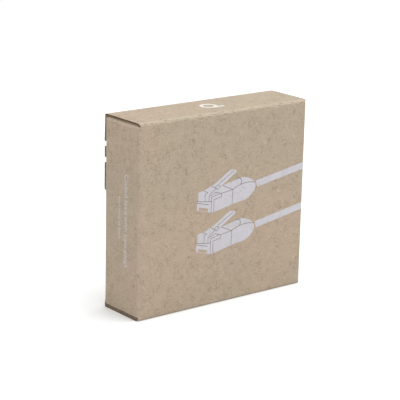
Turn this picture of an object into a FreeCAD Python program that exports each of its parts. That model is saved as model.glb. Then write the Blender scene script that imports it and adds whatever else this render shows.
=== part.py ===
"""Retail carton for a coiled network lead, folded from one blank of fine-flute corrugated board.

The four walls make a tube that a glued seam closes at the back right edge. The bottom is glued shut.
The lid is one with the front wall: it folds over the top and down the back, where its closure flap is
glued to the back wall. A strip across that flap tears out, from either end, and frees the lid.

Frame: +X to the right, +Y to the back, +Z up. The origin is the centre of the base. Sizes are in
millimetres. Every panel of the blank is a board slab whose folded edges are mitred, with a rounded
outer corner, and a fold that opens turns about the middle of that round corner.
"""

import FreeCAD, Part
import math
import os

from FreeCAD import Vector

# Carton, measured over the board
WIDTH = 160.0            # over the two side walls
DEPTH = 42.2             # over the front and back walls
HEIGHT = 150.0           # over the bottom and the lid
BOARD = 1.6              # thickness of the board
FOLD_RADIUS = 2.0        # outer radius of a folded edge
FLAP_GAP = 0.3           # between a dust flap, or a cut wall edge, and the panel that covers it
GLUE = 0.15              # thickness of a pressed line of glue

# Closure on the back wall, from the lid downwards
CLOSURE_FLAP = 23.0      # lid fold to the first tear line
TEAR_STRIP = 12.3        # between the two tear lines
GLUED_FLAP = 24.0        # below the second tear line
TEAR_CUT = 0.2           # width of a tear line
NOTCH_RADIUS = 2.0       # finger notch at each end of a tear line
NOTCH_DEPTH = 3.4
FLAP_CORNER = 2.5        # corner radius of a free flap corner
TAPE_WIDTH = 5.0         # ripper tape behind the tear strip
TAPE = 0.1               # its thickness

# Bottom glue flap and side seam
BOTTOM_FLAP = 12.0
BOTTOM_FLAP_INSET = 0.8
BOTTOM_FLAP_TAPER = 8.0  # degrees
SEAM_FLAP = 15.0
SEAM_FLAP_END = 5.0      # from the wall's folded end to the seam flap
SEAM_FLAP_TAPER = 15.0   # degrees

# Dust flaps
DUST_FLAP = 30.0         # length from the fold
DUST_FRONT_RELIEF = 2.0  # from the front wall, at the fold
DUST_BACK_RELIEF = 2.6   # from the back wall, at the fold
DUST_FRONT_SPARE = 0.01  # slope of its front edge beyond what the opening lid needs
DUST_BACK_TAPER = 8.0    # degrees
DUST_CORNER = 4.0

# Lines of glue
GLUE_WIDTH = 3.0
CLOSURE_GLUE_LENGTH = 36.0
CLOSURE_GLUE_COUNT = 3
GLUE_EDGE = 4.0          # from a flap's free edge to its glue

# Printed ink
INK = 0.05               # thickness of the ink
PRINT_LINE = 0.42        # width of an unprinted line in the drawing
PRINT_BLEED = 3.0        # how far the drawn cables run on past the right fold
SMALLEST_PATCH = 0.3     # square millimetres of ink between lines that still print
PLUG_LEFT = 53.4         # nose of the drawn plugs, from the left wall
PLUG_LOW = 77.2          # lowest point of the upper one's far nose edge, above the base
PLUG_PITCH = 32.6        # lower plug below the upper one
EMBLEM_RADIUS = 7.0      # coil mark on the lid
EMBLEM_LINE = 2.8

OVERALL_DEPTH = INK + DEPTH + GLUE + BOARD
FRONT = -OVERALL_DEPTH / 2 + INK         # outer face of the front wall
BACK = FRONT + DEPTH                     # outer face of the back wall
FLAP_FACE = BACK + GLUE + BOARD          # outer face of the flaps glued to the back wall
SEAM_FACE = BACK - BOARD - GLUE          # outer face of the seam flap
LEFT = -WIDTH / 2
RIGHT = WIDTH / 2
WALL_TOP = HEIGHT - BOARD - FLAP_GAP     # outer fold line of the side walls, under the lid
WALL_FOOT = BOARD + FLAP_GAP             # and over the bottom
FOLD_AXIS = FOLD_RADIUS * (1 - math.sqrt(0.5))   # from an outer face to the middle of a round fold

X = Vector(1, 0, 0)
Y = Vector(0, 1, 0)
Z = Vector(0, 0, 1)


# --- flat shapes ---------------------------------------------------------------------------------

def point(a, b):
    return Vector(a, b, 0)


def round_outline(corners):
    """Face of a polygon. Each corner is (a, b) or (a, b, radius), and a radius rounds it."""
    edges = []
    starts, ends = [], []
    count = len(corners)
    for i in range(count):
        here = point(*corners[i][:2])
        before = point(*corners[i - 1][:2])
        after = point(*corners[(i + 1) % count][:2])
        radius = corners[i][2] if len(corners[i]) > 2 else 0.0
        if not radius:
            starts.append(here)
            ends.append(here)
            continue
        back = (before - here).normalize()
        on = (after - here).normalize()
        half = back.getAngle(on) / 2
        reach = radius / math.tan(half)
        centre = here + (back + on).normalize() * (radius / math.sin(half))
        first, last = here + back * reach, here + on * reach
        middle = centre + (here - centre).normalize() * radius
        starts.append(first)
        ends.append(last)
        edges.append((i, Part.Arc(first, middle, last).toShape()))
    arcs = dict(edges)
    line = []
    for i in range(count):
        if i in arcs:
            line.append(arcs[i])
        line.append(Part.makeLine(ends[i], starts[(i + 1) % count]))
    return Part.Face(Part.Wire(line))


def thick(face, low, high):
    """A flat face in the local XY plane, made a solid between two heights."""
    moved = face.copy()
    moved.translate(Z * low)
    return moved.extrude(Z * (high - low))


def place(shape, corner, along, across, outward):
    """Moves a local shape so that its X, Y and Z lie on the three directions and its origin on corner."""
    matrix = FreeCAD.Matrix(
        along.x, across.x, outward.x, corner.x,
        along.y, across.y, outward.y, corner.y,
        along.z, across.z, outward.z, corner.z,
        0, 0, 0, 1,
    )
    return shape.transformed(matrix, copy=True)


# --- board ---------------------------------------------------------------------------------------

def strip_profile(length, low_fold, high_fold):
    """Cross-section of a board strip, as a face in local XY: outer side on Y = 0, inner side on -BOARD.

    A folded end is mitred at 45 degrees and carries half of the fold's round outer corner.
    """
    half_turn = math.radians(22.5)
    near = FOLD_RADIUS * (1 - math.sin(half_turn))
    far = FOLD_RADIUS * (1 - math.cos(half_turn))
    edges = []
    if low_fold:
        inner_low, outer_low = point(BOARD, -BOARD), point(FOLD_RADIUS, 0)
        tip = point(FOLD_AXIS, -FOLD_AXIS)
        edges += [Part.makeLine(inner_low, tip), Part.Arc(tip, point(near, -far), outer_low).toShape()]
    else:
        inner_low, outer_low = point(0, -BOARD), point(0, 0)
        edges += [Part.makeLine(inner_low, outer_low)]
    if high_fold:
        inner_high, outer_high = point(length - BOARD, -BOARD), point(length - FOLD_RADIUS, 0)
        tip = point(length - FOLD_AXIS, -FOLD_AXIS)
        middle = point(length - near, -far)
        edges += [
            Part.makeLine(outer_low, outer_high),
            Part.Arc(outer_high, middle, tip).toShape(),
            Part.makeLine(tip, inner_high),
        ]
    else:
        inner_high, outer_high = point(length, -BOARD), point(length, 0)
        edges += [Part.makeLine(outer_low, outer_high), Part.makeLine(outer_high, inner_high)]
    edges.append(Part.makeLine(inner_high, inner_low))
    return Part.Face(Part.Wire(edges))


def panel(corner, along, across, size, folds, outline=None):
    """One panel of the blank.

    corner is where its outer planes would meet, along and across are its edges' directions, and along x
    across points out of the carton. size is (length along, length across). folds names the folded edges:
    "start" and "end" lie at the two ends of along, "low" and "high" at the two ends of across. outline
    is a flat face in the panel's own coordinates that trims it.
    """
    long, wide = size
    lengthwise = strip_profile(long, "start" in folds, "end" in folds).extrude(Z * -wide)
    lengthwise = place(lengthwise, Vector(), X, Z, -Y)
    crosswise = strip_profile(wide, "low" in folds, "high" in folds).extrude(Z * long)
    crosswise = place(crosswise, Vector(), Y, Z, X)
    slab = lengthwise.common(crosswise)
    if outline is not None:
        slab = slab.common(thick(outline, -BOARD - 1, 1))
    return place(slab.Solids[0], corner, along, across, along.cross(across))


def front_panel():
    return panel(Vector(LEFT, FRONT, 0), X, Z, (WIDTH, HEIGHT), "start end low high")


def left_panel():
    return panel(Vector(LEFT, BACK, WALL_FOOT), -Y, Z, (DEPTH, WALL_TOP - WALL_FOOT), "start end low high")


def right_panel():
    """Its back edge folds in behind the back wall, as the seam flap."""
    size = (SEAM_FACE - FRONT, WALL_TOP - WALL_FOOT)
    return panel(Vector(RIGHT, FRONT, WALL_FOOT), Y, Z, size, "start end low high")


def back_panel():
    return panel(Vector(RIGHT, BACK, WALL_FOOT), -X, Z, (WIDTH, WALL_TOP - WALL_FOOT), "end")


def seam_flap():
    height = WALL_TOP - WALL_FOOT
    slope = SEAM_FLAP * math.tan(math.radians(SEAM_FLAP_TAPER))
    outline = round_outline([
        (0, SEAM_FLAP_END),
        (SEAM_FLAP, SEAM_FLAP_END + slope, FLAP_CORNER),
        (SEAM_FLAP, height - SEAM_FLAP_END - slope, FLAP_CORNER),
        (0, height - SEAM_FLAP_END),
    ])
    return panel(Vector(RIGHT, SEAM_FACE, WALL_FOOT), -X, Z, (SEAM_FLAP, height), "start", outline)


def bottom_panel():
    return panel(Vector(LEFT, FLAP_FACE, 0), X, -Y, (WIDTH, FLAP_FACE - FRONT), "low high")


def lid_panel():
    return panel(Vector(LEFT, FRONT, HEIGHT), X, Y, (WIDTH, FLAP_FACE - FRONT), "low high")


def dust_flap_outline():
    """Corners of a dust flap, with its fold on local X = 0 and the front wall's side at low Y.

    The opening lid turns twice as far as the rising flap. It clears the flap's tip if the tip is at least
    half the flap's length behind the lid's fold, and the front edge slopes just enough for that.
    """
    root_low = BOARD + DUST_FRONT_RELIEF
    root_high = DEPTH - BOARD - DUST_BACK_RELIEF
    tip_low = max(root_low, FOLD_AXIS + DUST_FLAP * (0.5 + DUST_FRONT_SPARE))
    tip_high = root_high - DUST_FLAP * math.tan(math.radians(DUST_BACK_TAPER))
    return [
        (0, root_low),
        (DUST_FLAP, tip_low, DUST_CORNER),
        (DUST_FLAP, tip_high, DUST_CORNER),
        (0, root_high),
    ]


def dust_flap(side, top):
    """A dust flap folded in from a side wall: side is -1 for the left wall and 1 for the right."""
    level = WALL_TOP if top else WALL_FOOT
    size = (DUST_FLAP, DEPTH)
    corners = dust_flap_outline()
    inward = X * -side
    fold_x = side * WIDTH / 2
    front_first = (side < 0) == top
    if front_first:
        return panel(Vector(fold_x, FRONT, level), inward, Y, size, "start", round_outline(corners))
    turned = [(c[0], DEPTH - c[1], *c[2:]) for c in reversed(corners)]
    return panel(Vector(fold_x, BACK, level), inward, -Y, size, "start", round_outline(turned))


# --- closure on the back wall --------------------------------------------------------------------

FIRST_TEAR = HEIGHT - CLOSURE_FLAP
SECOND_TEAR = FIRST_TEAR - TEAR_STRIP
FLAP_END = SECOND_TEAR - GLUED_FLAP


def cut_notches(shape):
    """Cuts the finger notches at both ends of the two tear lines."""
    for level in (FIRST_TEAR, SECOND_TEAR):
        for side in (-1, 1):
            reach = WIDTH / 2 - NOTCH_DEPTH + NOTCH_RADIUS
            start = Vector(side * reach, BACK, level)
            round_end = Part.makeCylinder(NOTCH_RADIUS, FLAP_FACE - BACK + 1, start, Y)
            slot = Part.makeBox(NOTCH_DEPTH, FLAP_FACE - BACK + 1, 2 * NOTCH_RADIUS)
            slot.translate(Vector(min(side * reach, side * (reach + NOTCH_DEPTH)), BACK, level - NOTCH_RADIUS))
            shape = shape.cut(round_end.fuse(slot))
    return shape.Solids[0]


def closure_piece(low, high, folds="", outline=None):
    size = (WIDTH, high - low)
    return cut_notches(panel(Vector(RIGHT, FLAP_FACE, low), -X, Z, size, folds, outline))


def closure_flap():
    return closure_piece(FIRST_TEAR + TEAR_CUT / 2, HEIGHT, "high")


def tear_strip():
    return closure_piece(SECOND_TEAR + TEAR_CUT / 2, FIRST_TEAR - TEAR_CUT / 2)


def glued_flap():
    high = SECOND_TEAR - TEAR_CUT / 2 - FLAP_END
    outline = round_outline([(0, 0, FLAP_CORNER), (WIDTH, 0, FLAP_CORNER), (WIDTH, high), (0, high)])
    return closure_piece(FLAP_END, FLAP_END + high, "", outline)


def tear_tape():
    middle = (FIRST_TEAR + SECOND_TEAR) / 2
    tape = Part.makeBox(WIDTH, TAPE, TAPE_WIDTH)
    tape.translate(Vector(LEFT, BACK + GLUE - TAPE, middle - TAPE_WIDTH / 2))
    return tape


def bottom_flap():
    long = WIDTH - 2 * BOTTOM_FLAP_INSET
    slope = BOTTOM_FLAP * math.tan(math.radians(BOTTOM_FLAP_TAPER))
    outline = round_outline([
        (0, 0),
        (long, 0),
        (long - slope, BOTTOM_FLAP, FLAP_CORNER),
        (slope, BOTTOM_FLAP, FLAP_CORNER),
    ])
    corner = Vector(RIGHT - BOTTOM_FLAP_INSET, FLAP_FACE, 0)
    return panel(corner, -X, Z, (long, BOTTOM_FLAP), "low", outline)


# --- glue ----------------------------------------------------------------------------------------

def glue_line(corner, long, high):
    """A pressed line of glue in the XZ plane, rounded at its ends, from corner towards +X and +Z."""
    radius = min(long, high) / 2 * 0.98
    face = round_outline([(0, 0, radius), (long, 0, radius), (long, high, radius), (0, high, radius)])
    return place(thick(face, 0, GLUE), corner, X, Z, -Y)


def glue_row(level):
    """Lines of glue spread evenly along the back wall, with their lower edge at level."""
    gap = (WIDTH - CLOSURE_GLUE_COUNT * CLOSURE_GLUE_LENGTH) / (CLOSURE_GLUE_COUNT + 1)
    starts = [LEFT + gap + i * (gap + CLOSURE_GLUE_LENGTH) for i in range(CLOSURE_GLUE_COUNT)]
    return [glue_line(Vector(x, BACK + GLUE, level), CLOSURE_GLUE_LENGTH, GLUE_WIDTH) for x in starts]


def closure_glue():
    low = glue_row(FLAP_END + GLUE_EDGE)
    high = glue_row(SECOND_TEAR - NOTCH_RADIUS - GLUE_EDGE - GLUE_WIDTH)
    return Part.makeCompound(low + high)


def bottom_glue():
    return Part.makeCompound(glue_row(BOTTOM_FLAP - GLUE_EDGE - GLUE_WIDTH / 2))


def seam_glue():
    long = WALL_TOP - WALL_FOOT - 4 * SEAM_FLAP_END
    corner = Vector(RIGHT - (SEAM_FLAP + GLUE_WIDTH) / 2, SEAM_FACE + GLUE, WALL_FOOT + 2 * SEAM_FLAP_END)
    return glue_line(corner, GLUE_WIDTH, long)


# --- print on the front wall ---------------------------------------------------------------------

# The drawing's points are (across, up) in millimetres from the lowest point of the plug's far nose edge.
NOSE_TOP = (1.3, 13.8)
POST_FOOT = (13.9, -3.9)
CHEEK_FOOT = (16.5, -3.9)
JOINT_FOOT = (34.2, -0.4)
JOINT_NEAR = (34.6, 11.2)
JOINT_FAR = (24.3, 15.8)
CABLE_START_LOW = (58.7, 9.7)
CABLE_START_HIGH = (57.4, 14.9)
CABLE_RISE = 0.168


def runs_edges(runs):
    """Edges of runs of flat points: two points make a line, and three an arc."""
    edges = []
    for run in runs:
        flat = [point(*p) for p in run]
        edges.append(Part.makeLine(*flat) if len(flat) == 2 else Part.Arc(*flat).toShape())
    return edges


def ink_patch(*runs):
    return Part.Face(Part.Wire(runs_edges(runs)))


def bare_line(*points):
    """Unprinted line through points, as one thin flat face for each stretch."""
    flat = [point(*p) for p in points]
    faces = []
    for a, b in zip(flat, flat[1:]):
        on = (b - a).normalize() * (PRINT_LINE / 2)
        side = Vector(-on.y, on.x, 0)
        a, b = a - on, b + on
        faces.append(Part.Face(Part.makePolygon([a + side, b + side, b - side, a - side, a + side])))
    return faces


def bare_curve(start, middle, end):
    """Unprinted line along the arc through three points."""
    points = [point(*p) for p in (start, middle, end)]
    circle = Part.Arc(*points).toShape().Curve
    rings = []
    for side in (-1, 1):
        scale = 1 + side * PRINT_LINE / 2 / circle.Radius
        rings.append([circle.Center + (p - circle.Center) * scale for p in points])
    inner, outer = rings
    edges = [
        Part.Arc(*inner).toShape(),
        Part.makeLine(inner[2], outer[2]),
        Part.Arc(*reversed(outer)).toShape(),
        Part.makeLine(outer[0], inner[0]),
    ]
    return [Part.Face(Part.Wire(edges))]


def plug_body():
    """Nose, top and near side of the plug."""
    return round_outline([
        (0.3, 0.1), POST_FOOT, CHEEK_FOOT, JOINT_FOOT, JOINT_NEAR, JOINT_FAR,
        (15.3, 17.7), (6.8, 14.4), (*NOSE_TOP, 0.9), (1.3, 6.9), (0.3, 6.8),
    ])


def boot():
    """Cable boot, rounded towards the cable."""
    low_bend, low_end = (42.4, 0.9), (57.0, 9.2)
    high_end, high_bend = (56.8, 13.4), (40.0, 19.2)
    return ink_patch(
        (JOINT_FOOT, low_bend), (low_bend, (52.6, 4.1), low_end), (low_end, high_end),
        (high_end, (50.6, 17.9), high_bend), (high_bend, (37.2, 18.5)), ((37.2, 18.5), JOINT_FAR),
        (JOINT_FAR, JOINT_NEAR), (JOINT_NEAR, JOINT_FOOT),
    )


def latch():
    """Spring arm of the plug."""
    return round_outline([
        (14.2, 16.6), (31.9, 27.2, 0.6), (36.8, 26.5, 0.5), (38.2, 24.9, 0.5), (22.6, 15.2), (19.0, 14.6),
    ])


def contact_window():
    """Unprinted window in the nose."""
    return round_outline([(2.2, 2.1), (2.2, -0.1), (10.8, -2.6), (10.8, -0.2)])


def plug_lines():
    """Unprinted lines of the drawing."""
    lines = []
    # nose shelf and its lip
    lines += bare_line((0.3, 6.8), (11.6, 5.1), (14.2, 5.1))
    lines += bare_line((0.3, 5.6), (11.5, 2.8))
    # latch channel, and the block beside it
    lines += bare_line((6.8, 14.0), (10.2, 12.5), (8.4, 11.6), (7.8, 10.4), (7.8, 6.0))
    lines += bare_line((11.6, 5.1), (11.6, 9.6), (14.2, 9.9))
    # near corner post and cheek
    lines += bare_line(POST_FOOT, (14.1, 8.2), (21.7, 9.8))
    lines += bare_line(CHEEK_FOOT, (16.5, 5.9), (23.5, 7.2), (23.5, 9.8), (18.0, 11.5), (14.2, 9.9))
    lines += bare_line((23.5, 9.8), JOINT_NEAR)
    # hinge block of the latch, and its arm's groove
    lines += bare_line((13.9, 16.9), (17.2, 15.2), (20.2, 17.1), (22.3, 15.5), (19.4, 13.5), (17.2, 15.2))
    lines += bare_line((18.2, 14.2), (12.4, 10.9))
    lines += bare_line((21.2, 17.9), (35.4, 25.9))
    # where the boot starts, its ridge and its thumb pad
    lines += bare_line(JOINT_FOOT, JOINT_NEAR, JOINT_FAR)
    lines += bare_curve(JOINT_NEAR, (46.4, 14.7), (57.2, 13.6))
    lines += bare_curve((37.6, 18.7), (43.0, 16.4), (41.8, 13.9))
    return lines


def cable_height(start, across):
    """Height of a straight edge of the drawn cable that begins at start."""
    return start[1] + (across - start[0]) * CABLE_RISE


def plug_print(drop):
    """Ink of one plug and its cable, drop below the upper one. The cable runs round the right edge."""
    ink = plug_body().fuse([boot(), latch()]).removeSplitter()
    ink = ink.cut(Part.makeCompound(plug_lines() + [contact_window()]))
    patches = [face for face in ink.Faces if face.Area > SMALLEST_PATCH]
    flat_end = WIDTH - FOLD_RADIUS - PLUG_LEFT
    cable = round_outline([
        CABLE_START_LOW,
        (flat_end, cable_height(CABLE_START_LOW, flat_end)),
        (flat_end, cable_height(CABLE_START_HIGH, flat_end)),
        CABLE_START_HIGH,
    ])
    corner = Vector(LEFT + PLUG_LEFT, FRONT, PLUG_LOW - drop)
    solids = [place(thick(face, 0, INK), corner, X, Z, -Y) for face in patches + [cable]]
    return Part.makeCompound(solids + [folded_cable(corner.z, flat_end)])


def folded_cable(base, flat_end):
    """Ink of the cable from the front wall's flat end, round the fold and a little way on."""
    centre = Vector(RIGHT - FOLD_RADIUS, FRONT + FOLD_RADIUS, 0)
    inner, outer = [
        (centre - Y * radius, centre + (X - Y).normalize() * radius, centre + X * radius)
        for radius in (FOLD_RADIUS, FOLD_RADIUS + INK)
    ]
    inner_end, outer_end = inner[2] + Y * PRINT_BLEED, outer[2] + Y * PRINT_BLEED
    edges = [
        Part.Arc(*inner).toShape(),
        Part.makeLine(inner[2], inner_end),
        Part.makeLine(inner_end, outer_end),
        Part.makeLine(outer_end, outer[2]),
        Part.Arc(*reversed(outer)).toShape(),
        Part.makeLine(outer[0], inner[0]),
    ]
    skin = Part.Face(Part.Wire(edges)).extrude(Z * HEIGHT)
    low = base + cable_height(CABLE_START_LOW, flat_end)
    high = base + cable_height(CABLE_START_HIGH, flat_end)
    run = FOLD_RADIUS + PRINT_BLEED + INK
    rise = (FOLD_RADIUS * math.pi / 2 + PRINT_BLEED) * CABLE_RISE
    band = round_outline([(0, low), (run, low + rise), (run, high + rise), (0, high)])
    slab = place(thick(band, 0, WIDTH), Y * (FRONT - INK), Y, Z, X)
    return skin.common(slab).Solids[0]


def emblem_print():
    """Coil mark on the lid: a closed ring with the lead's end leaving it along a tangent."""
    centre = Vector(0, (FRONT + FLAP_FACE) / 2, HEIGHT)
    ring = Part.makeCylinder(EMBLEM_RADIUS, INK, centre)
    hole = Part.makeCylinder(EMBLEM_RADIUS - EMBLEM_LINE, INK, centre)
    tail = Part.makeBox(EMBLEM_RADIUS * 1.5, EMBLEM_LINE, INK)
    tail.translate(centre + Vector(0, -EMBLEM_RADIUS, 0))
    return ring.fuse(tail).cut(hole).removeSplitter().Solids[0]


# --- the object ----------------------------------------------------------------------------------

def nodes():
    """Every node of the carton, by name."""
    return {
        "front_panel": front_panel(),
        "left_panel": left_panel(),
        "right_panel": right_panel(),
        "back_panel": back_panel(),
        "seam_flap": seam_flap(),
        "seam_glue": seam_glue(),
        "bottom_panel": bottom_panel(),
        "bottom_flap": bottom_flap(),
        "bottom_glue": bottom_glue(),
        "bottom_left_dust_flap": dust_flap(-1, False),
        "bottom_right_dust_flap": dust_flap(1, False),
        "lid_panel": lid_panel(),
        "closure_flap": closure_flap(),
        "tear_strip": tear_strip(),
        "tear_tape": tear_tape(),
        "glued_flap": glued_flap(),
        "closure_glue": closure_glue(),
        "top_left_dust_flap": dust_flap(-1, True),
        "top_right_dust_flap": dust_flap(1, True),
        "upper_plug_print": plug_print(0),
        "lower_plug_print": plug_print(PLUG_PITCH),
        "lid_emblem_print": emblem_print(),
    }


os.makedirs("parts", exist_ok=True)
for name, shape in nodes().items():
    shape.exportStep(os.path.join("parts", name + ".step"))
print("lid axis y, z", round(FRONT + FOLD_AXIS, 4), round(HEIGHT - FOLD_AXIS, 4))
print("closure flap axis y, z", round(FLAP_FACE - FOLD_AXIS, 4), round(HEIGHT - FOLD_AXIS, 4))
print("dust flap axes x, z", round(RIGHT - FOLD_AXIS, 4), round(WALL_TOP - FOLD_AXIS, 4))
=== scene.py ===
"""Looks of a slim retail carton for a coiled network lead, folded from brown fine-flute corrugated board.

Every panel of the blank is built as real board: an outer liner, a waved fluting paper and an inner liner.
A panel has its own axes: a runs along the flutes, b runs across them and depth runs into the board.
Where a fold turns, the panels meet in the middle of its round corner, and the folds that open are strips
of board of their own, baked in place on no body. Lengths are in metres.
"""

import math

import bpy
import numpy as np
from mathutils import Matrix, Vector


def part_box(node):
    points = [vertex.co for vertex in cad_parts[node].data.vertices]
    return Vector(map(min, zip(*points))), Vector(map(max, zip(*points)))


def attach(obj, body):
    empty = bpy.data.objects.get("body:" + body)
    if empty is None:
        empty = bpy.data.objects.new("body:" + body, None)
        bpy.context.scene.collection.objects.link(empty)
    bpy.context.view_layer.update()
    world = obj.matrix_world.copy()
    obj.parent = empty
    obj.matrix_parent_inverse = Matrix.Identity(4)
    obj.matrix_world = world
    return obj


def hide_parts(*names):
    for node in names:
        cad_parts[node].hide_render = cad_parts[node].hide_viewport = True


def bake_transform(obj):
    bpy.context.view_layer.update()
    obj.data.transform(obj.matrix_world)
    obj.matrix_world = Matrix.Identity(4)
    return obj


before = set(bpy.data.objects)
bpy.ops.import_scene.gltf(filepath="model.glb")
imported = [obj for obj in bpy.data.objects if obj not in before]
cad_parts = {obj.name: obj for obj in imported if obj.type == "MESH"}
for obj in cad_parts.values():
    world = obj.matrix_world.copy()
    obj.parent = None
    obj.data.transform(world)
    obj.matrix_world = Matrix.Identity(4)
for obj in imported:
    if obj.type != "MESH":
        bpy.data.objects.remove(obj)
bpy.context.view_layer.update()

MM = 0.001

# --- places, from the frame ---
LEFT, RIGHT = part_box("lid_panel")[0].x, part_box("lid_panel")[1].x
FRONT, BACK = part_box("front_panel")[0].y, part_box("back_panel")[1].y
FLAP_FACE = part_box("closure_flap")[1].y
SEAM_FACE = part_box("seam_flap")[1].y
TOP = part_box("lid_panel")[1].z
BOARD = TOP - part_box("lid_panel")[0].z
WALL_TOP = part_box("top_left_dust_flap")[1].z
WALL_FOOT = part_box("bottom_left_dust_flap")[0].z
HALF_FOLD = math.radians(45)
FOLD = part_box("front_panel")[0].z / (1 - math.cos(HALF_FOLD))     # outer radius of a fold

# --- board ---
LINER = 0.24 * MM
FLUTE_PAPER = 0.18 * MM
FLUTE_PITCH = 3.2 * MM
FLUTE_STEPS = 12              # rows of points in one flute
FOLD_REACH = 4.0 * MM         # from a fold's outer planes to the end of its bending strip
BEND_REACH = FOLD_REACH - BOARD
CUT_CRUSH = 0.16              # how much a cut edge squeezes the board
FOLD_CRUSH = 0.30             # and a fold
FIBRE_STRETCH = 1.6           # how much longer than wide the loops of the liner's fibres are
RAGGED = 0.06 * MM            # unevenness of a cut edge
LEAN_SHARE = 0.55             # of a flap's lean, this share comes out of its thickness

X, Y, Z = Vector((1, 0, 0)), Vector((0, 1, 0)), Vector((0, 0, 1))


# --- camera --------------------------------------------------------------------------------------

def add_camera():
    """Long lens, in front and to the left, a little above, and turned about its own axis a little."""
    azimuth, elevation, roll = math.radians(-38.54), math.radians(15.58), math.radians(1.31)
    back = Vector((math.sin(azimuth) * math.cos(elevation), -math.cos(azimuth) * math.cos(elevation),
                   math.sin(elevation)))
    right = Z.cross(back).normalized()
    up = back.cross(right)
    right, up = right * math.cos(roll) + up * math.sin(roll), up * math.cos(roll) - right * math.sin(roll)
    data = bpy.data.cameras.new("camera")
    data.lens, data.sensor_width = 137.7, 36.0
    data.clip_start, data.clip_end = 0.05, 20.0
    camera = bpy.data.objects.new("camera", data)
    bpy.context.scene.collection.objects.link(camera)
    turn = Matrix((right, up, back)).transposed().to_4x4()
    corner = Vector((LEFT, FRONT, 0))
    camera.matrix_world = Matrix.Translation(corner + Vector((-629.2, -860.7, 391.8)) * MM) @ turn
    bpy.context.scene.camera = camera


add_camera()


# --- shapes --------------------------------------------------------------------------------------

def ripples(x, y, shortest, longest, count, seed):
    """Even random unevenness, mostly within -1 to 1: the sum of count plane waves of random direction, phase
    and length, divided by the square root of count."""
    draw = np.random.default_rng(seed)
    total = np.zeros(np.broadcast(x, y).shape)
    for _ in range(count):
        turn, phase = draw.uniform(0, 2 * np.pi, 2)
        number = 2 * np.pi / draw.uniform(shortest, longest)
        total += np.sin((x * np.cos(turn) + y * np.sin(turn)) * number + phase)
    return total / np.sqrt(count)


def smooth(t):
    t = np.clip(t, 0, 1)
    return t * t * (3 - 2 * t)


def spread(low, high, step, fine_low=False, fine_high=False, extra=()):
    """Evenly spaced places from low to high, about a step apart, with closer ones beside a fine end."""
    count = max(2, int(round((high - low) / step)) + 1)
    near = np.array([0.3, 0.7, 1.3]) * MM
    sets = [np.linspace(low, high, count), np.array(extra)]
    if fine_low:
        sets.append(low + near)
    if fine_high:
        sets.append(high - near)
    places = np.unique(np.concatenate(sets))
    return places[(places >= low) & (places <= high)]


class Rows:
    """Rows of points across the flutes, as whole arrays.

    b and height place a row's outer point, and normal_b and normal_h are its normal. fold is how far the row
    has turned towards the middle of the nearest fold, and passed how far round a full fold. run is the
    distance along the board, cut the distance to the nearest cut edge, and own the outline's coordinate.
    """

    def __init__(self, b, height, normal_b, normal_h, fold, passed, own, cut):
        self.b, self.height, self.normal_b, self.normal_h = b, height, normal_b, normal_h
        self.fold, self.passed, self.own, self.cut = fold, passed, own, cut
        self.run = np.concatenate([[0], np.cumsum(np.hypot(np.diff(b), np.diff(height)))])
        self.edge = np.minimum(self.run, self.run[-1] - self.run)


def rows_across(start, end, step, low="cut", high="cut", extra=()):
    """Straight rows from start to end at height 0, with half a fold at a folded end.

    Half a fold is an arc of radius FOLD that starts at the flat board and turns through HALF_FOLD: b runs on
    by FOLD times the sine of the angle, and the height falls by FOLD times one less the cosine.
    """
    flat_start = start + (FOLD if low == "fold" else 0)
    flat_end = end - (FOLD if high == "fold" else 0)
    b = spread(flat_start, flat_end, step, low == "cut", high == "cut", extra)
    zero = 0 * b
    count = max(3, int(round(FOLD * HALF_FOLD / min(step, 0.16 * MM))))
    angle = np.linspace(0, HALF_FOLD, count + 1)[1:]
    across, drop = FOLD * np.sin(angle), FOLD * (np.cos(angle) - 1)
    parts = [(b, zero, zero, zero + 1, zero)]
    if low == "fold":
        arc = (flat_start - across, drop, -np.sin(angle), np.cos(angle), angle / HALF_FOLD)
        parts.insert(0, tuple(part[::-1] for part in arc))
    if high == "fold":
        parts.append((flat_end + across, drop, np.sin(angle), np.cos(angle), angle / HALF_FOLD))
    b, height, normal_b, normal_h, fold = (np.concatenate(part) for part in zip(*parts))
    cut = np.full(b.shape, 1.0)
    if low == "cut":
        cut = np.minimum(cut, b - start)
    if high == "cut":
        cut = np.minimum(cut, end - b)
    return Rows(b, height, normal_b, normal_h, fold, 0 * b, b, cut)


def rows_round(size, step):
    """Rows from FOLD_REACH before a fold at size, right round its arc and on to FOLD_REACH beyond it."""
    count = max(6, int(round(2 * FOLD * HALF_FOLD / step)))
    before = spread(size - FOLD_REACH, size - FOLD, step)[:-1]
    beyond = spread(FOLD, FOLD_REACH, step)[1:]
    angle = np.linspace(0, 2 * HALF_FOLD, count + 1)
    turned = angle / (2 * HALF_FOLD)
    low, high = 0 * before, 0 * beyond
    b = np.concatenate([before, size - FOLD + FOLD * np.sin(angle), high + size])
    height = np.concatenate([low, FOLD * (np.cos(angle) - 1), -beyond])
    normal_b = np.concatenate([low, np.sin(angle), high + 1])
    normal_h = np.concatenate([low + 1, np.cos(angle), high])
    fold = np.concatenate([low, 1 - abs(2 * turned - 1), high])
    passed = np.concatenate([low, turned, high + 1])
    own = np.concatenate([low, FOLD * turned, beyond])
    return Rows(b, height, normal_b, normal_h, fold, passed, own, np.full(b.shape, 1.0))


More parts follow.
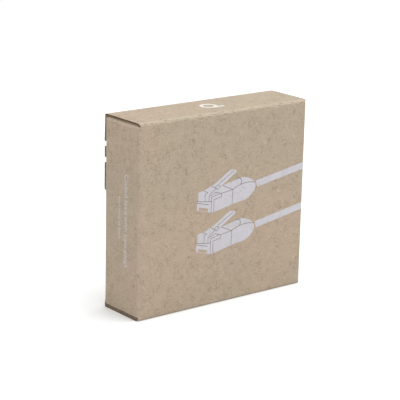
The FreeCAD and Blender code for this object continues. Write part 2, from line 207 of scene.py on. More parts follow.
def closed_sheet(outer, inner):
    """Points and faces of a closed sheet between two grids, first its two sides and then its four rims."""
    count_a, count_b = outer.shape[:2]
    top = np.arange(count_a * count_b).reshape(count_a, count_b)
    low = top + count_a * count_b

    def quads(*corners):
        return np.stack(corners, -1).reshape(-1, 4)

    sides = np.concatenate([
        quads(top[:-1, :-1], top[1:, :-1], top[1:, 1:], top[:-1, 1:]),
        quads(low[:-1, :-1], low[:-1, 1:], low[1:, 1:], low[1:, :-1]),
    ])
    rims = np.concatenate([
        quads(top[:-1, 0], low[:-1, 0], low[1:, 0], top[1:, 0]),
        quads(top[:-1, -1], top[1:, -1], low[1:, -1], low[:-1, -1]),
        quads(top[0, :-1], top[0, 1:], low[0, 1:], low[0, :-1]),
        quads(top[-1, :-1], low[-1, :-1], low[-1, 1:], top[-1, 1:]),
    ])
    return np.concatenate([outer.reshape(-1, 3), inner.reshape(-1, 3)]), sides, rims


def new_piece(name, points, faces, materials, finish, values=None, places=None):
    """A mesh piece from whole arrays: points, four-cornered faces, and each face's material number."""
    mesh = bpy.data.meshes.new(name)
    mesh.from_pydata(points, [], faces.tolist())
    for material in materials:
        mesh.materials.append(material)
    mesh.polygons.foreach_set("material_index", finish.astype(np.int32))
    if values is not None:
        # Per-point lightening of the liner: wear at cut edges, and a painted highlight along the folds.
        mesh.attributes.new("worn", "FLOAT", "POINT").data.foreach_set("value", values.astype(np.float32))
    if places is not None:
        layer = mesh.uv_layers.new(name="blank")
        layer.data.foreach_set("uv", places[faces.reshape(-1)].astype(np.float32).reshape(-1))
    mesh.shade_smooth()
    mesh.set_sharp_from_angle(angle=math.radians(40))
    mesh.update()
    piece = bpy.data.objects.new(name, mesh)
    bpy.context.scene.collection.objects.link(piece)
    return piece


class Board:
    """A panel of corrugated board, or the strip round a fold that opens.

    corner is the panel's own corner, a runs along the flutes and b across them. rows gives the rows for a
    step, and ends gives each row's two ends along a. keep gives how much of the tube's upright folds a row
    has at its low and high end: 1 is a whole half fold, and 0 a straight cut end. crisp is how far the middle
    of those folds stands out beyond their arc. start is how far the flutes have already run, so that they
    carry on from the panel before, and lean is how far each row lies in from its place.
    """

    END = 1.6 * MM                # the columns beside a straight cut end take up this much

    def __init__(self, name, corner, along, across, rows, ends, keep, start=0.0, slack=0.015, pressed=0.0,
                 inset=0.0, crisp=(0.0, 0.0), lean=None, step=5 * MM, row_step=2.5 * MM):
        self.name, self.corner = name, np.array(corner)
        self.along, self.across = np.array(along), np.array(across)
        self.outward = np.array(along.cross(across))
        self.rows, self.ends, self.keep, self.start = rows, ends, keep, start
        self.slack, self.pressed, self.inset = slack * MM, pressed * MM, inset * MM
        self.crisp = (crisp[0] * MM, crisp[1] * MM)
        self.lean = lean or (lambda rows: 0 * rows.b)
        self.step, self.row_step = step, row_step
        whole = rows(row_step)
        self.width = float(np.max(ends(whole)[1]))
        self.end = start + whole.run[-1]

    def columns(self, step, turns):
        """Share of the flat span, and the angle turned at the low and the high end, for each column."""
        span = self.width - 2 * FOLD
        share = spread(0, span, step, True, True) / span
        angle = np.linspace(0, HALF_FOLD, turns + 1)[1:]
        none = 0 * angle
        return (
            np.concatenate([none, share, none + 1])[:, None],
            np.concatenate([angle[::-1], 0 * share, none])[:, None],
            np.concatenate([none, 0 * share, angle])[:, None],
        )

    def grid(self, rows, depth_of, step, turns, layer):
        """Grid of points at a depth below the outer face, with each point's a and its share of an upright
        fold.

        A column beside an upright fold swings by (FOLD - depth) times the sine of its angle, and sinks by
        (FOLD - depth) times one less the cosine. Beside a cut end it lies at its share of END and doesn't
        sink. keep mixes the two. The point then lies its depth down the row's normal.
        """
        low_end, high_end = (end[None, :] for end in self.ends(rows))
        keep_low, keep_high = (np.broadcast_to(keep(rows), rows.b.shape)[None, :] for keep in self.keep)
        ragged = RAGGED * (ripples(rows.run, 0 * rows.run, 2 * MM, 9 * MM, 6, 300 + layer).clip(0))[None, :]
        low_end, high_end = low_end + ragged * (1 - keep_low), high_end - ragged * (1 - keep_high)
        share, low_turn, high_turn = self.columns(step, turns)
        base_low = keep_low * FOLD + (1 - keep_low) * (low_end + self.END)
        base_high = keep_high * (self.width - FOLD) + (1 - keep_high) * (high_end - self.END)
        flat = base_low + share * (base_high - base_low)
        depth = depth_of(flat, rows)
        reach = (FOLD - depth).clip(0.05 * MM)
        plain = self.END / math.sin(HALF_FOLD)
        low_out, high_out = (out * smooth(turn / HALF_FOLD) ** 1.5
                             for out, turn in zip(self.crisp, (low_turn, high_turn)))
        a = (flat - np.sin(low_turn) * (keep_low * (reach + low_out) + (1 - keep_low) * plain)
             + np.sin(high_turn) * (keep_high * (reach + high_out) + (1 - keep_high) * plain))
        down = (depth + keep_low * (reach - (reach + low_out) * np.cos(low_turn))
                + keep_high * (reach - (reach + high_out) * np.cos(high_turn)))
        b = rows.b[None, :] - rows.normal_b[None, :] * down
        height = rows.height[None, :] - rows.normal_h[None, :] * down
        points = (self.corner + a[..., None] * self.along + b[..., None] * self.across
                  + height[..., None] * self.outward)
        return points, a, np.maximum(low_turn * keep_low, high_turn * keep_high) / HALF_FOLD

    def inside(self, a, rows):
        """1 in the panel's middle, falling to 0 at its edges over 9 mm."""
        side = np.minimum(a, self.width - a)
        return smooth(side / (9 * MM)) * smooth(rows.edge / (9 * MM))[None, :]

    def sink(self, a, rows):
        """How far the outer face lies below its place: half of what a cut edge loses, a slow unevenness, and
        the short wrinkles of a fold that was pressed before it was turned."""
        run = rows.run[None, :] + self.start + 0 * a
        cut = 0.5 * CUT_CRUSH * BOARD * np.exp(-rows.cut / (0.8 * MM))[None, :]
        slow = self.slack * (1 + ripples(a, run, 25 * MM, 80 * MM, 7, 11)).clip(0)
        wrinkle = ripples(a * 0.22, run, 0.8 * MM, 2.2 * MM, 14, 12).clip(0)
        near = smooth(rows.edge / (2.5 * MM))[None, :]
        groove = 0.9 * np.exp(-((run - self.start - self.score(a)) / (0.4 * MM)) ** 2)
        wrinkle = wrinkle + groove * (0.75 + 0.5 * ripples(a, 0 * a, 2 * MM, 6 * MM, 5, 15)).clip(0)
        face = (self.inset + slow) * self.inside(a, rows)
        return face + cut + self.pressed * near * wrinkle + self.lean(rows)

    def score(self, a):
        """Where the uneven score line of a pressed fold runs, from the bending strip's first row."""
        return (1.3 + 0.45 * ripples(a, 0 * a, 3 * MM, 16 * MM, 9, 16)) * MM

    def thickness(self, a, rows):
        """The board's thickness, less what a cut edge and the middle of a fold have lost."""
        cut = CUT_CRUSH * np.exp(-rows.cut / (1.1 * MM))
        crushed = BOARD * (1 - cut - FOLD_CRUSH * smooth(rows.fold))
        return (crushed - LEAN_SHARE * self.lean(rows))[None, :] + 0 * a

    def wave(self, a, rows):
        """Depth of the fluting paper: a sine across the flutes, between the two liners."""
        run = rows.run[None, :] + self.start + 0 * a
        thick = self.thickness(a, rows)
        swing = (thick - 2 * LINER - 1.35 * FLUTE_PAPER) / 2
        drift = 0.3 * ripples(a, run, 40 * MM, 120 * MM, 5, 13)
        return self.sink(a, rows) + thick / 2 + swing * np.sin(2 * np.pi * run / FLUTE_PITCH + drift)

    def worn(self, a, rows, fold):
        """How much lighter the paper is made: a painted highlight at the folds, wear along the cut edges, and
        in patches over a pressed fold wear together with a painted highlight that carries the lid's lit tone
        over the crease.
        """
        run = rows.run[None, :] + self.start + 0 * a
        edge = 0.4 * np.exp(-rows.cut / (0.6 * MM))[None, :]
        patches = 0.85 + 0.25 * ripples(a, run, 2 * MM, 8 * MM, 8, 14)
        band = smooth((run - self.start - self.score(a)) / (0.4 * MM)) * smooth((self.end - run) / (2.5 * MM))
        # The fold term is a painted highlight along each fold's middle; the edge term is wear; the
        # pressed-fold band is partly wear, partly painted highlight.
        return np.maximum(fold, rows.fold[None, :]) * 0.3 + edge + patches * band * (self.pressed > 0)

    def build(self, body, *nodes):
        """The board's three papers as one piece, which rides on a body, or, given a tuple for body, stays
        baked in place on no body.
        """
        papers = [
            (self.row_step, self.step, 8, self.sink, lambda a, r: self.sink(a, r) + LINER),
            (self.row_step, self.step, 8, lambda a, r: self.sink(a, r) + self.thickness(a, r) - LINER,
             lambda a, r: self.sink(a, r) + self.thickness(a, r)),
            (FLUTE_PITCH / FLUTE_STEPS, 16 * MM, 4, lambda a, r: self.wave(a, r) - FLUTE_PAPER / 2,
             lambda a, r: self.wave(a, r) + FLUTE_PAPER / 2),
        ]
        points, faces, finish, worn, places, count = [], [], [], [], [], 0
        for number, (row_step, step, turns, top, bottom) in enumerate(papers):
            rows = self.rows(row_step)
            outer, a, fold = self.grid(rows, top, step, turns, number)
            inner = self.grid(rows, bottom, step, turns, number)[0]
            own, sides, rims = closed_sheet(outer, inner)
            points.append(own)
            faces += [sides + count, rims + count]
            # Rims and the fluting paper take the darker finish: partly the cut edges' own colour, partly
            # painted shade of the flute hollows.
            finish += [np.full(len(sides), int(number == 2)), np.full(len(rims), 1)]
            worn.append(np.tile(self.worn(a, rows, fold).reshape(-1), 2))
            place = np.stack([a, rows.run[None, :] + self.start + 0 * a], -1).reshape(-1, 2)
            places.append(np.tile(place, (2, 1)))
            count += len(own)
        piece = new_piece(self.name, np.concatenate(points), np.concatenate(faces), [kraft, cut_edge_and_flute_shade_paper],
                          np.concatenate(finish), np.concatenate(worn).clip(0, 1), np.concatenate(places))
        if nodes:
            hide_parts(*nodes)
        if isinstance(body, str):
            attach(piece, body)
        else:
            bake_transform(piece)
        return self


# --- finishes ------------------------------------------------------------------------------------

class Value:
    """A value inside a finish. Sums, differences, products and quotients of it add their Math nodes."""

    def __init__(self, finish, socket):
        self.finish, self.socket = finish, socket

    def maths(self, operation, *values):
        return self.finish.node("ShaderNodeMath", {"operation": operation}, dict(enumerate(values)))

    def __add__(self, other):
        return self.maths("ADD", self, other)

    def __sub__(self, other):
        return self.maths("SUBTRACT", self, other)

    def __rsub__(self, other):
        return self.maths("SUBTRACT", other, self)

    def __mul__(self, other):
        return self.maths("MULTIPLY", self, other)

    __radd__ = __add__
    __rmul__ = __mul__

    def size(self):
        return self.maths("ABSOLUTE", self)

    def sine(self):
        return self.maths("SINE", self)

    def step(self, start, end):
        """0 at start and 1 at end, with a soft rise between; start may be the larger."""
        return self.finish.node("ShaderNodeMapRange", {"interpolation_type": "SMOOTHSTEP"},
                                {"Value": self, "From Min": start, "From Max": end})


class Finish:
    """A material made of nodes, with one shader."""

    def __init__(self, name, **constants):
        self.material = bpy.data.materials.new(name)
        self.material.use_nodes = True
        self.tree = self.material.node_tree
        self.shader = self.tree.nodes["Principled BSDF"]
        for socket, value in constants.items():
            self.shader.inputs[socket.replace("_", " ")].default_value = value
        self.place = self.node("ShaderNodeTexCoord", {}, {}, "Object")

    def node(self, kind, settings, sockets, out=0):
        """Adds a node: its settings are set first, then the values or links of its sockets."""
        node = self.tree.nodes.new(kind)
        for name, value in settings.items():
            setattr(node, name, value)
        for name, value in sockets.items():
            self.put(node.inputs[name], value)
        return Value(self, node.outputs[out])

    def put(self, socket, value):
        if isinstance(value, Value):
            self.tree.links.new(value.socket, socket)
        else:
            socket.default_value = value

    def noise(self, scale, detail=2.0, rough=0.5, warp=0.0, shift=(0, 0, 0), stretch=(1, 1, 1)):
        moved = {"Vector": self.place, "Location": shift, "Scale": stretch}
        vector = self.node("ShaderNodeMapping", {}, moved)
        return self.node("ShaderNodeTexNoise", {}, {"Vector": vector, "Scale": scale, "Detail": detail,
                                                    "Roughness": rough, "Distortion": warp})

    def mix(self, share, first, second):
        colour = {"data_type": "RGBA", "clamp_factor": True}
        return self.node("ShaderNodeMix", colour, {0: share, 6: first, 7: second}, 2)

    def finish(self, colour, rough, height, distance):
        bump = self.node("ShaderNodeBump", {}, {"Height": height, "Distance": distance, "Strength": 1.0})
        for name, value in (("Base Color", colour), ("Roughness", rough), ("Normal", bump)):
            self.put(self.shader.inputs[name], value)
        return self.material


def rgb(red, green, blue):
    """Linear colour of display values from 0 to 255."""
    return tuple(((v / 255 + 0.055) / 1.055) ** 2.4 for v in (red, green, blue)) + (1.0,)


def curly_fibres(finish, scale, width, gate, turns):
    """Short curled fibres: for each turn, thin lines where a noise that is stretched along that turn crosses
    its middle, kept only where a second such noise is high."""
    total = 0.0
    for number, turn in enumerate(turns):
        drawn = {"Vector": finish.place, "Rotation": (turn, 1.3 * turn, 0.7 * turn),
                 "Location": (0.3 * number + scale / 900, 0.5, 0.1 * number), "Scale": (FIBRE_STRETCH, 1, 1)}
        along = finish.node("ShaderNodeMapping", {"vector_type": "TEXTURE"}, drawn)
        field, patch = (finish.node("ShaderNodeTexNoise", {}, {"Vector": along, "Scale": size, "Detail": 0.5,
                                                               "Distortion": bend})
                        for size, bend in ((scale, 0.7), (0.5 * scale, 0.0)))
        total = (field - 0.5).size().step(width, 0.35 * width) * patch.step(gate, gate + 0.05) + total
    return total


def kraft_finish():
    """Unbleached liner with recycled fibres: slow pinkish and greenish clouds, fine grain, and short curled
    fibres, most of them dark."""
    f = Finish("kraft_liner", Specular_IOR_Level=0.25)
    drift = f.noise(13, 1.0, 0.5, 0.2, (2.4, 3.1, 0.6))
    clouds = f.noise(95, 3.0, 0.6, 0.3)
    grain = f.noise(1300, 3.0, 0.7, 0.0, (1, 7, 3))
    dark = curly_fibres(f, 230, 0.020, 0.50, (0.2, 1.4, 2.6))
    fine = curly_fibres(f, 330, 0.024, 0.50, (0.8, 2.1))
    light = curly_fibres(f, 280, 0.026, 0.50, (0.5, 1.8))
    specks = f.noise(800, 1.0, 0.4, 0.0, (4, 4, 9)).step(0.72, 0.78)
    worn = f.node("ShaderNodeAttribute", {"attribute_name": "worn"}, {}, "Fac")
    colour = f.mix(drift.step(0.36, 0.64), rgb(172, 153, 134), rgb(167, 152, 133))
    colour = f.mix(clouds.step(0.30, 0.72) * 0.14, colour, rgb(158, 142, 124))
    colour = f.mix(grain.step(0.35, 0.7) * 0.32, colour, rgb(144, 127, 109))
    colour = f.mix(light * 0.20, colour, rgb(196, 182, 163))
    colour = f.mix(dark * 0.32, colour, rgb(114, 98, 82))
    colour = f.mix(fine * 0.30, colour, rgb(108, 92, 77))
    colour = f.mix(specks * 0.10, colour, rgb(82, 67, 54))
    # Lightens the liner where it is worn along cut edges, and paints a highlight along the folds and over
    # pressed creases.
    colour = f.mix(worn * (grain.step(0.3, 0.6) * 0.3 + 0.3), colour, rgb(188, 174, 155))
    along = f.node("ShaderNodeUVMap", {"uv_map": "blank"}, {})
    run = f.node("ShaderNodeSeparateXYZ", {}, {0: along}, 1)
    flutes = (run * (2 * math.pi / FLUTE_PITCH)).sine()
    height = grain * 0.35 + (light - dark - fine) * 0.25 + flutes * 0.10 + clouds * 0.3
    return f.finish(colour, 0.78 + 0.14 * grain, height, 0.00012)


def cut_edge_and_flute_shade_finish():
    """Cut edges and the fluting paper: short-fibred and matt, and darker than the liner, partly the cut
    edges' own darker colour and partly painted shade of the hollows between the flutes.
    """
    f = Finish("cut_edge_paper", Specular_IOR_Level=0.15)
    grain = f.noise(2400, 3.0, 0.7)
    clouds = f.noise(160, 2.0, 0.5, 0.0, (3, 1, 4))
    # These darker browns paint the shade of the flute hollows, on top of the cut edges' own darker tone.
    colour = f.mix(clouds.step(0.3, 0.7), rgb(150, 131, 109), rgb(134, 116, 96))
    colour = f.mix(grain.step(0.4, 0.7) * 0.4, colour, rgb(104, 88, 71))
    return f.finish(colour, 0.88 + 0.1 * grain, grain, 0.00010)


def ink_finish(name, thick, thin):
    """White ink that the board's fibres show through, thinner in patches."""
    f = Finish(name, Specular_IOR_Level=0.35)
    clouds = f.noise(260, 3.0, 0.6, 0.2)
    grain = f.noise(1500, 3.0, 0.7, 0.0, (1, 7, 3))
    dark = curly_fibres(f, 260, 0.026, 0.54, (0.2, 1.4, 2.6))
    pinholes = f.noise(1900, 2.0, 0.5, 0.0, (2, 2, 5)).step(0.66, 0.74)
    colour = f.mix(clouds.step(0.3, 0.75) * 0.5, thick, thin)
    colour = f.mix(dark * 0.28, colour, rgb(152, 142, 134))
    colour = f.mix(pinholes * 0.45, colour, rgb(158, 146, 133))
    return f.finish(colour, 0.58 + 0.2 * grain, grain * 0.5 + dark * 0.3, 0.00008)


def dark_ink_finish():
    """Thin grey-brown ink of the drawing's lines."""
    f = Finish("line_ink", Specular_IOR_Level=0.3)
    grain = f.noise(1500, 3.0, 0.7, 0.0, (1, 7, 3))
    colour = f.mix(grain.step(0.35, 0.65), rgb(104, 93, 86), rgb(122, 109, 98))
    return f.finish(colour, 0.62 + 0.2 * grain, grain, 0.00006)


def glue_finish():
    """Dried white glue: milky, slightly yellow and smooth, with small ripples."""
    f = Finish("dried_glue", Specular_IOR_Level=0.5, Subsurface_Weight=0.2)
    ripple = f.noise(420, 3.0, 0.6, 0.8)
    colour = f.mix(ripple.step(0.3, 0.7), rgb(222, 210, 178), rgb(206, 190, 152))
    return f.finish(colour, 0.22 + 0.25 * ripple, ripple, 0.00015)


def tape_finish():
    """Ripper tape: thin glossy film over lengthwise yarns."""
    f = Finish("ripper_tape", Specular_IOR_Level=0.5, Coat_Weight=0.3)
    yarns = f.noise(900, 1.0, 0.4, 0.0, (0, 0, 0), (0.03, 1, 1))
    dust = f.noise(700, 2.0, 0.6, 0.0, (1, 5, 2))
    colour = f.mix(yarns.step(0.35, 0.65), rgb(206, 190, 162), rgb(178, 158, 128))
    return f.finish(colour, 0.2 + 0.3 * dust, yarns, 0.00006)


kraft, cut_edge_and_flute_shade_paper, dark_ink = kraft_finish(), cut_edge_and_flute_shade_finish(), dark_ink_finish()
ink = ink_finish("white_ink", rgb(186, 182, 187), rgb(178, 173, 177))
lid_ink = ink_finish("warm_white_ink", rgb(207, 201, 195), rgb(200, 193, 186))
finish_of_slot = {"board": kraft, "ink": ink, "glue": glue_finish(), "tape": tape_finish()}


# --- the blank -----------------------------------------------------------------------------------

WIDTH, LID_DEPTH, DEPTH, WALL = RIGHT - LEFT, FLAP_FACE - FRONT, BACK - FRONT, WALL_TOP - WALL_FOOT
FLAP_CORNER = 2.5 * MM
FLAP_LEAN, TAB_LEAN = 0.8 * MM, 0.25 * MM
BACK_FOLD_OUT = 0.45          # millimetres that the sharp back left fold stands out beyond its arc
FIRST_TEAR, SECOND_TEAR, FLAP_END = 23.0 * MM, 35.3 * MM, 59.3 * MM     # below the lid, down the back
TEAR_HALF = 0.1 * MM
NOTCH, NOTCH_DEPTH = 2.0 * MM, 3.4 * MM
BOTTOM_FLAP, BOTTOM_INSET, BOTTOM_SLOPE = 12.0 * MM, 0.8 * MM, math.tan(math.radians(8))
SEAM_FLAP, SEAM_END, SEAM_SLOPE = 15.0 * MM, 5.0 * MM, math.tan(math.radians(15))
DUST_FLAP, DUST_CORNER = 30.0 * MM, 4.0 * MM
DUST_ROOT, DUST_FRONT_SLOPE, DUST_BACK_SLOPE = (3.6 * MM, 38.0 * MM), 0.4095, math.tan(math.radians(8))
DUST_TIP_ROWS = DUST_FLAP - np.array([3.4, 2.4, 1.7, 1.0]) * MM         # rows in round corners
FLAP_TIP_ROWS = np.array([2.2, 1.7, 1.0]) * MM                          # and before a glued flap's end
BOTTOM_CORNER_ROWS = (2.1 * MM, 2.5 * MM)
SEAM_TRIM, SEAM_LEAST = 0.2 * MM, 2.6 * FOLD
TEAR_ROWS = np.array([-0.01, 0.01]) * MM                                # on both sides of a notch's end


def whole(rows):
    return 1.0


def none(rows):
    return 0.0


def leaving(rows):
    """An upright fold that fades out round a panel's own fold: 1 on the panel and a half at its middle."""
    return 1 - 0.5 * smooth(rows.fold)


def arriving(rows):
    """The other panel's side of it: a half in the middle of the fold and 0 on the panel."""
    return 0.5 * smooth(rows.fold)


def fading(rows):
    """The same for a fold that opens, right round it."""
    return 1 - smooth(rows.passed)


def full_width(width):
    return lambda rows: (0 * rows.b, 0 * rows.b + width)


def round_corner(left, radius):
    """How far a corner of this radius cuts in, where left is what is left to the free edge: the radius less
    the root of its square less the square of how far the point is past the corner's centre."""
    past = (radius - left).clip(0, radius)
    return radius - np.sqrt(radius ** 2 - past ** 2)


def notched(rows):
    """Ends of the closure's pieces, with round notches at both tear lines and the last flap's corners."""
    low = round_corner(FLAP_END - rows.b, FLAP_CORNER)
    for tear in (FIRST_TEAR, SECOND_TEAR):
        off = abs(rows.b - tear)
        depth = NOTCH_DEPTH - NOTCH + np.sqrt((NOTCH ** 2 - off ** 2).clip(0))
        low = np.maximum(low, np.where(off < NOTCH, depth, 0))
    return low, WIDTH - low


def bottom_flap_ends(rows):
    low = rows.b * BOTTOM_SLOPE + round_corner(BOTTOM_FLAP - rows.b, FLAP_CORNER)
    low = np.maximum(low, round_corner(rows.b, FLAP_CORNER) - BOTTOM_INSET)
    return low, WIDTH - 2 * BOTTOM_INSET - low


def bottom_ends(rows):
    """The bottom's ends, with round corners towards the flap glued up the back."""
    low = round_corner(rows.b, FLAP_CORNER)
    return low, WIDTH - low


def seam_flap_ends(rows):
    in_from_end = np.minimum(rows.b, WALL - rows.b) - SEAM_END
    high = (in_from_end / SEAM_SLOPE).clip(SEAM_LEAST, SEAM_FLAP)
    return 0 * rows.b, high


def dust_ends(width, front_first, share):
    """Ends of a dust flap in a wall's own a. share is how much of them a row has: the rest is the wall's.

    They start DUST_ROOT behind the front wall, and slope in with the distance from the fold, own."""
    def ends(rows):
        tip = round_corner(DUST_FLAP - rows.own, DUST_CORNER)
        front = DUST_ROOT[0] + rows.own * DUST_FRONT_SLOPE + tip
        back = DUST_ROOT[1] - rows.own * DUST_BACK_SLOPE - tip
        low, high = (front, back) if front_first else (DEPTH - back, DEPTH - front)
        part = share(rows)
        return low * part, width + (high - width) * part
    return ends


def across(start, end, low="cut", high="cut", extra=()):
    return lambda step: rows_across(start, end, step, low, high, extra)


def round_fold(size):
    return lambda step: rows_round(size, min(step, 0.3 * MM))


def place(x, y, z):
    return Vector((x, y, z))


def build_side(name, corner, along, width, front_first, side):
    """A side wall, its bending strip to the top dust flap, that flap, and the bottom one.

    side is 1 on the left and -1 on the right, and front_first says that a starts at the front wall."""
    lower = dust_ends(width, front_first, lambda r: 0.5 * smooth(r.fold) * (r.b < WALL / 2))
    crisp = (BACK_FOLD_OUT, 0.0) if side > 0 else (0.0, 0.0)
    wall = Board(f"{name}_wall", corner, along, Z, across(0, WALL - FOLD_REACH, "fold", "strip"), lower,
                 (leaving, leaving), inset=0.05 if side > 0 else 0.0, slack=0.01, crisp=crisp)
    wall.width = width
    wall.build("carton", f"{name}_panel")

    upper = dust_ends(width, front_first, lambda r: smooth(r.passed))
    crease = Board(f"{name}_dust_crease", corner, along, Z, round_fold(WALL), upper, (fading, fading),
                   wall.end, pressed=0.05, crisp=crisp, step=2 * MM)
    crease.width = width
    edge = corner.x
    crease.build(("carton", f"{name}_dust_flap", place(edge, 0, WALL_TOP - BEND_REACH),
                  place(edge + side * BEND_REACH, 0, WALL_TOP)))

    whole_flap = dust_ends(width, front_first, lambda r: 1 + 0 * r.b)
    flap = Board(f"top_{name}_flap", place(edge, corner.y, WALL_TOP), along, X * side,
                 across(FOLD_REACH, DUST_FLAP, "strip", "cut", DUST_TIP_ROWS), whole_flap, (none, none),
                 crease.end, slack=0.05)
    flap.build(f"{name}_dust_flap", f"top_{name}_dust_flap")

    folded_flap = dust_ends(width, not front_first, lambda r: 1 - 0.5 * smooth(r.fold))
    low_flap = Board(f"bottom_{name}_flap", place(edge, FRONT if side > 0 else BACK, WALL_FOOT), -along,
                     X * side, across(0, DUST_FLAP, "fold", "cut", DUST_TIP_ROWS), folded_flap,
                     (arriving, arriving), slack=0.05)
    low_flap.build("carton", f"bottom_{name}_dust_flap")


def build_walls():
    """The four walls of the tube and the flap of its seam. Gives back the strip that carries the lid."""
    corner = place(LEFT, FRONT, 0)
    front = Board("front_wall", corner, X, Z, across(0, TOP - FOLD_REACH, "fold", "strip"),
                  full_width(WIDTH), (leaving, leaving), slack=0.006).build("carton", "front_panel")
    lid_crease = Board("lid_crease", corner, X, Z, round_fold(TOP), full_width(WIDTH),
                       (fading, fading), front.end, pressed=0.40, step=1.2 * MM)
    lid_crease.build(("carton", "lid", place(0, FRONT, TOP - BEND_REACH), place(0, FRONT + BEND_REACH, TOP)))
    build_side("left", place(LEFT, BACK, WALL_FOOT), -Y, DEPTH, False, 1)
    build_side("right", place(RIGHT, FRONT, WALL_FOOT), Y, SEAM_FACE - FRONT, True, -1)
    back = Board("back_wall", place(RIGHT, BACK, WALL_FOOT), -X, Z, across(0, WALL), full_width(WIDTH),
                 (none, whole), slack=0.01, crisp=(0.0, BACK_FOLD_OUT))
    back.build("carton", "back_panel")
    seam = Board("seam_flap_board", place(RIGHT, SEAM_FACE, WALL_FOOT), -X, Z,
                 across(SEAM_END + SEAM_TRIM, WALL - SEAM_END - SEAM_TRIM), seam_flap_ends, (whole, none))
    seam.build("carton", "seam_flap")
    return lid_crease


def build_bottom():
    """The bottom, with its fold to the front wall, and the flap glued up the back."""
    def front_fold(rows):
        return arriving(rows) * (rows.b > LID_DEPTH / 2)

    bottom = Board("bottom", place(LEFT, FLAP_FACE, 0), X, -Y,
                   across(0, LID_DEPTH, "fold", "fold", BOTTOM_CORNER_ROWS), bottom_ends,
                   (front_fold, front_fold), slack=0.02)
    bottom.build("carton", "bottom_panel")
    flap = Board("bottom_glue_flap", place(RIGHT - BOTTOM_INSET, FLAP_FACE, 0), -X, Z,
                 across(0, BOTTOM_FLAP, "fold", "cut", BOTTOM_FLAP - FLAP_TIP_ROWS), bottom_flap_ends,
                 (none, none), slack=0.02)
    flap.build("carton", "bottom_flap")


def flap_lean(rows):
    """The closure flap springs out from its fold: it lies in by FLAP_LEAN there, less and less down to the
    first notch, and the bending strip above it takes that up from the lid."""
    return FLAP_LEAN * (1 - rows.b / (FIRST_TEAR - NOTCH)).clip(0)


def crease_lean(rows):
    """The bending strip's part of it, from none at the lid."""
    return FLAP_LEAN * (1 - FOLD_REACH / (FIRST_TEAR - NOTCH)) * smooth(rows.run / rows.run[-1])


def tab_lean(rows):
    """The tear strip and the glued flap lie evenly a little lower than the closure flap's free edge."""
    return 0 * rows.b + TAB_LEAN


def build_lid(lid_crease):
    """The lid, its bending strip to the closure, and the closure's three pieces down the back wall."""
    corner = place(LEFT, FRONT, TOP)
    lid = Board("lid_board", corner, X, Y, across(FOLD_REACH, LID_DEPTH - FOLD_REACH, "strip", "strip"),
                full_width(WIDTH), (none, none), lid_crease.end, slack=0.02).build("lid", "lid_panel")
    crease = Board("closure_crease", corner, X, Y, round_fold(LID_DEPTH), full_width(WIDTH), (none, none),
                   lid.end, pressed=0.12, lean=crease_lean, step=1.6 * MM)
    # These two points for the strip's turn lie close to its inside, to keep its papers clear of the back
    # wall's top edge; build does not use them.
    bend_from = place(0, FLAP_FACE - 1.3 * MM, TOP - 1.25 * MM)
    bend_to = place(0, FLAP_FACE - 0.1 * MM, TOP - 2.45 * MM)
    crease.build(("lid", "closure_flap", bend_from, bend_to))
    start = crease.end - FOLD_REACH
    closures = (
        ("closure_board", FOLD_REACH, FIRST_TEAR - TEAR_HALF, "strip", (FIRST_TEAR - NOTCH + TEAR_ROWS,),
         "closure_flap", "closure_flap", flap_lean),
        ("tear_strip_board", FIRST_TEAR + TEAR_HALF, SECOND_TEAR - TEAR_HALF, "cut",
         (FIRST_TEAR + NOTCH + TEAR_ROWS, SECOND_TEAR - NOTCH + TEAR_ROWS),
         "tear_strip", "tear_strip", tab_lean),
        ("glued_board", SECOND_TEAR + TEAR_HALF, FLAP_END, "cut",
         (SECOND_TEAR + NOTCH + TEAR_ROWS, FLAP_END - FLAP_TIP_ROWS), "carton", "glued_flap", tab_lean),
    )
    for name, low, high, kind, extra, body, node, lean in closures:
        board = Board(name, place(LEFT, FLAP_FACE, TOP), X, -Z,
                      across(low, high, kind, "cut", np.concatenate(extra)), notched, (none, none),
                      start + low, slack=0.03, lean=lean, row_step=1.0 * MM)
        board.build(body, node)


lid_crease_board = build_walls()
build_bottom()
build_lid(lid_crease_board)


# --- print, glue and tape ------------------------------------------------------------------------

def side_lettering(name, words, length, cap_height, from_back, top):
    """A line of words down the left wall, with the tops of the letters towards the front."""
    curve = bpy.data.curves.new(name, "FONT")
    curve.body = words
    curve.size = 1.0
    curve.resolution_u = 4
    source = bpy.data.objects.new(name, curve)
    mesh = bpy.data.meshes.new_from_object(source)
    points = np.empty(len(mesh.vertices) * 3)
    mesh.vertices.foreach_get("co", points)
    points = points.reshape(-1, 3)
    low, high = points.min(0), points.max(0)
    flat = (points - low) / (high - low)
    bpy.data.objects.remove(source)
    bpy.data.curves.remove(curve)
    placed = np.stack([
        np.full(len(flat), LEFT + 0.012 * MM),
        BACK - from_back - (flat[:, 1] - 0.5) * cap_height,
        top - flat[:, 0] * length,
    ], 1)
    mesh.vertices.foreach_set("co", placed.reshape(-1))
    mesh.materials.append(ink)
    mesh.update()
    piece = bpy.data.objects.new(name, mesh)
    bpy.context.scene.collection.objects.link(piece)
    thick = piece.modifiers.new("thickness", "SOLIDIFY")
    thick.thickness = 0.03 * MM
    thick.offset = -1
    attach(piece, "carton")


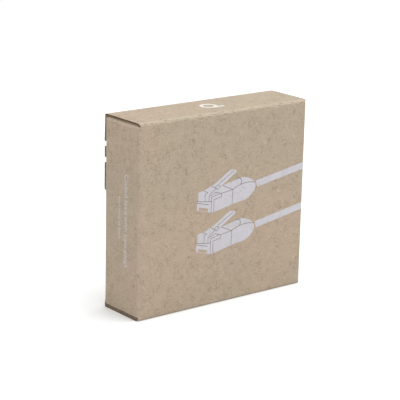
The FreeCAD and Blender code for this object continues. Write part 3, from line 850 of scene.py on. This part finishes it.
# Lines of the drawn plugs, in millimetres across and up from the lowest point of the plug's far nose edge.
PLUG_LINES = (
    ((0.3, 6.8), (11.6, 5.1), (14.2, 5.1)),
    ((0.3, 5.6), (11.5, 2.8)),
    ((6.8, 14.0), (10.2, 12.5), (8.4, 11.6), (7.8, 10.4), (7.8, 6.0)),
    ((11.6, 5.1), (11.6, 9.6), (14.2, 9.9)),
    ((13.9, -3.7), (14.1, 8.2), (21.7, 9.8)),
    ((16.5, -3.7), (16.5, 5.9), (23.5, 7.2), (23.5, 9.8), (18.0, 11.5), (14.2, 9.9)),
    ((23.5, 9.8), (34.6, 11.2)),
    ((13.9, 16.9), (17.2, 15.2), (20.2, 17.1), (22.3, 15.5), (19.4, 13.5), (17.2, 15.2)),
    ((18.2, 14.2), (12.4, 10.9)),
    ((21.2, 17.9), (35.2, 25.8)),
    ((34.2, -0.2), (34.6, 11.2), (24.4, 15.7)),
)
PLUG_CURVES = (((34.6, 11.2), (46.4, 14.7), (56.9, 13.6)), ((37.7, 18.6), (43.0, 16.4), (41.8, 13.9)))
PLUG_ORIGIN = (0.3, -3.9)     # the lowest corner of the plug's ink on the same axes
LINE_HALF = 0.24 * MM


def arc_through(first, middle, last, count=14):
    """Points along the circle through three points: its centre is equally far from all three."""
    a, b, c = (np.array(p) for p in (first, middle, last))
    sides = np.array([b - a, c - a])
    centre = a + np.linalg.solve(sides, (sides ** 2).sum(1) / 2)
    spokes = np.array([a, b, c]) - centre
    angles = np.unwrap(np.arctan2(spokes[:, 1], spokes[:, 0]))
    sweep = np.linspace(angles[0], angles[2], count)
    return centre + np.hypot(*spokes[0]) * np.stack([np.cos(sweep), np.sin(sweep)], 1)


def plug_line_print(name, node):
    """Dark lines between the white patches of a drawn plug. Each stretch is a thin closed strip: its corners
    lie LINE_HALF to either side of its two ends, which run on by as much, and it sinks into the liner."""
    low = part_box(node)[0]
    origin = np.array([low.x, low.z]) - np.array(PLUG_ORIGIN) * MM
    runs = [np.array(line) for line in PLUG_LINES] + [arc_through(*curve) for curve in PLUG_CURVES]
    starts = origin + np.concatenate([run[:-1] for run in runs]) * MM
    ends = origin + np.concatenate([run[1:] for run in runs]) * MM
    on = (ends - starts) / np.linalg.norm(ends - starts, axis=1, keepdims=True) * LINE_HALF
    side = np.stack([-on[:, 1], on[:, 0]], 1)
    corners = np.stack([starts - on - side, ends + on - side, ends + on + side, starts - on + side], 1)
    levels = np.array([FRONT - 0.03 * MM, FRONT + 0.02 * MM])
    points = np.empty((len(starts), 2, 4, 3))
    points[..., 0], points[..., 2] = corners[:, None, :, 0], corners[:, None, :, 1]
    points[..., 1] = levels[None, :, None]
    box = np.array([(0, 1, 2, 3), (7, 6, 5, 4), (0, 4, 5, 1), (1, 5, 6, 2), (2, 6, 7, 3), (3, 7, 4, 0)])
    faces = (box[None] + 8 * np.arange(len(starts))[:, None, None]).reshape(-1, 4)
    piece = new_piece(name, points.reshape(-1, 3), faces, [dark_ink], np.zeros(len(faces)))
    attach(piece, "carton")


plug_line_print("upper_plug_lines", "upper_plug_print")
plug_line_print("lower_plug_lines", "lower_plug_print")
side_lettering("side_lettering_large", "Coiled lead with two plugs", 71 * MM, 5.2 * MM, 25.8 * MM, 109 * MM)
side_lettering("side_lettering_small", "tear strip at back", 33 * MM, 3.6 * MM, 17.8 * MM, 91 * MM)

for node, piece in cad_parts.items():
    for slot in piece.material_slots:
        for name, material in finish_of_slot.items():
            if slot.material and name in slot.material.name:
                slot.material = lid_ink if node == "lid_emblem_print" else material


# --- studio --------------------------------------------------------------------------------------

def add_studio():
    """A plain pale floor, a white surround, and one large soft lamp above and in front."""
    floor = new_piece("floor", np.array([(-6, -6, 0), (6, -6, 0), (6, 6, 0), (-6, 6, 0)], float),
                      np.array([(0, 1, 2, 3)]), [], np.zeros(1))
    paper = Finish("floor_paper", Specular_IOR_Level=0.0)
    tone = paper.mix(paper.noise(3.0, 2.0), (0.90, 0.90, 0.90, 1), (0.91, 0.91, 0.91, 1))
    paper.put(paper.shader.inputs["Base Color"], tone)
    paper.shader.inputs["Roughness"].default_value = 0.95
    floor.data.materials.append(paper.material)
    world = bpy.data.worlds.new("surround")
    world.use_nodes = True
    world.node_tree.nodes["Background"].inputs["Color"].default_value = (1, 1, 1, 1)
    world.node_tree.nodes["Background"].inputs["Strength"].default_value = 0.98
    bpy.context.scene.world = world
    data = bpy.data.lights.new("lamp_above", "AREA")
    data.size, data.energy, data.color = 1.2, 16.0, (0.90, 0.98, 1.0)
    spot = Vector((0.35, -0.30, 1.5))
    lamp = bpy.data.objects.new("lamp_above", data)
    turn = (-spot).to_track_quat("-Z", "Y").to_matrix().to_4x4()
    lamp.matrix_world = Matrix.Translation(spot) @ turn
    bpy.context.scene.collection.objects.link(lamp)
    bpy.context.scene.view_settings.view_transform = "Standard"


add_studio()
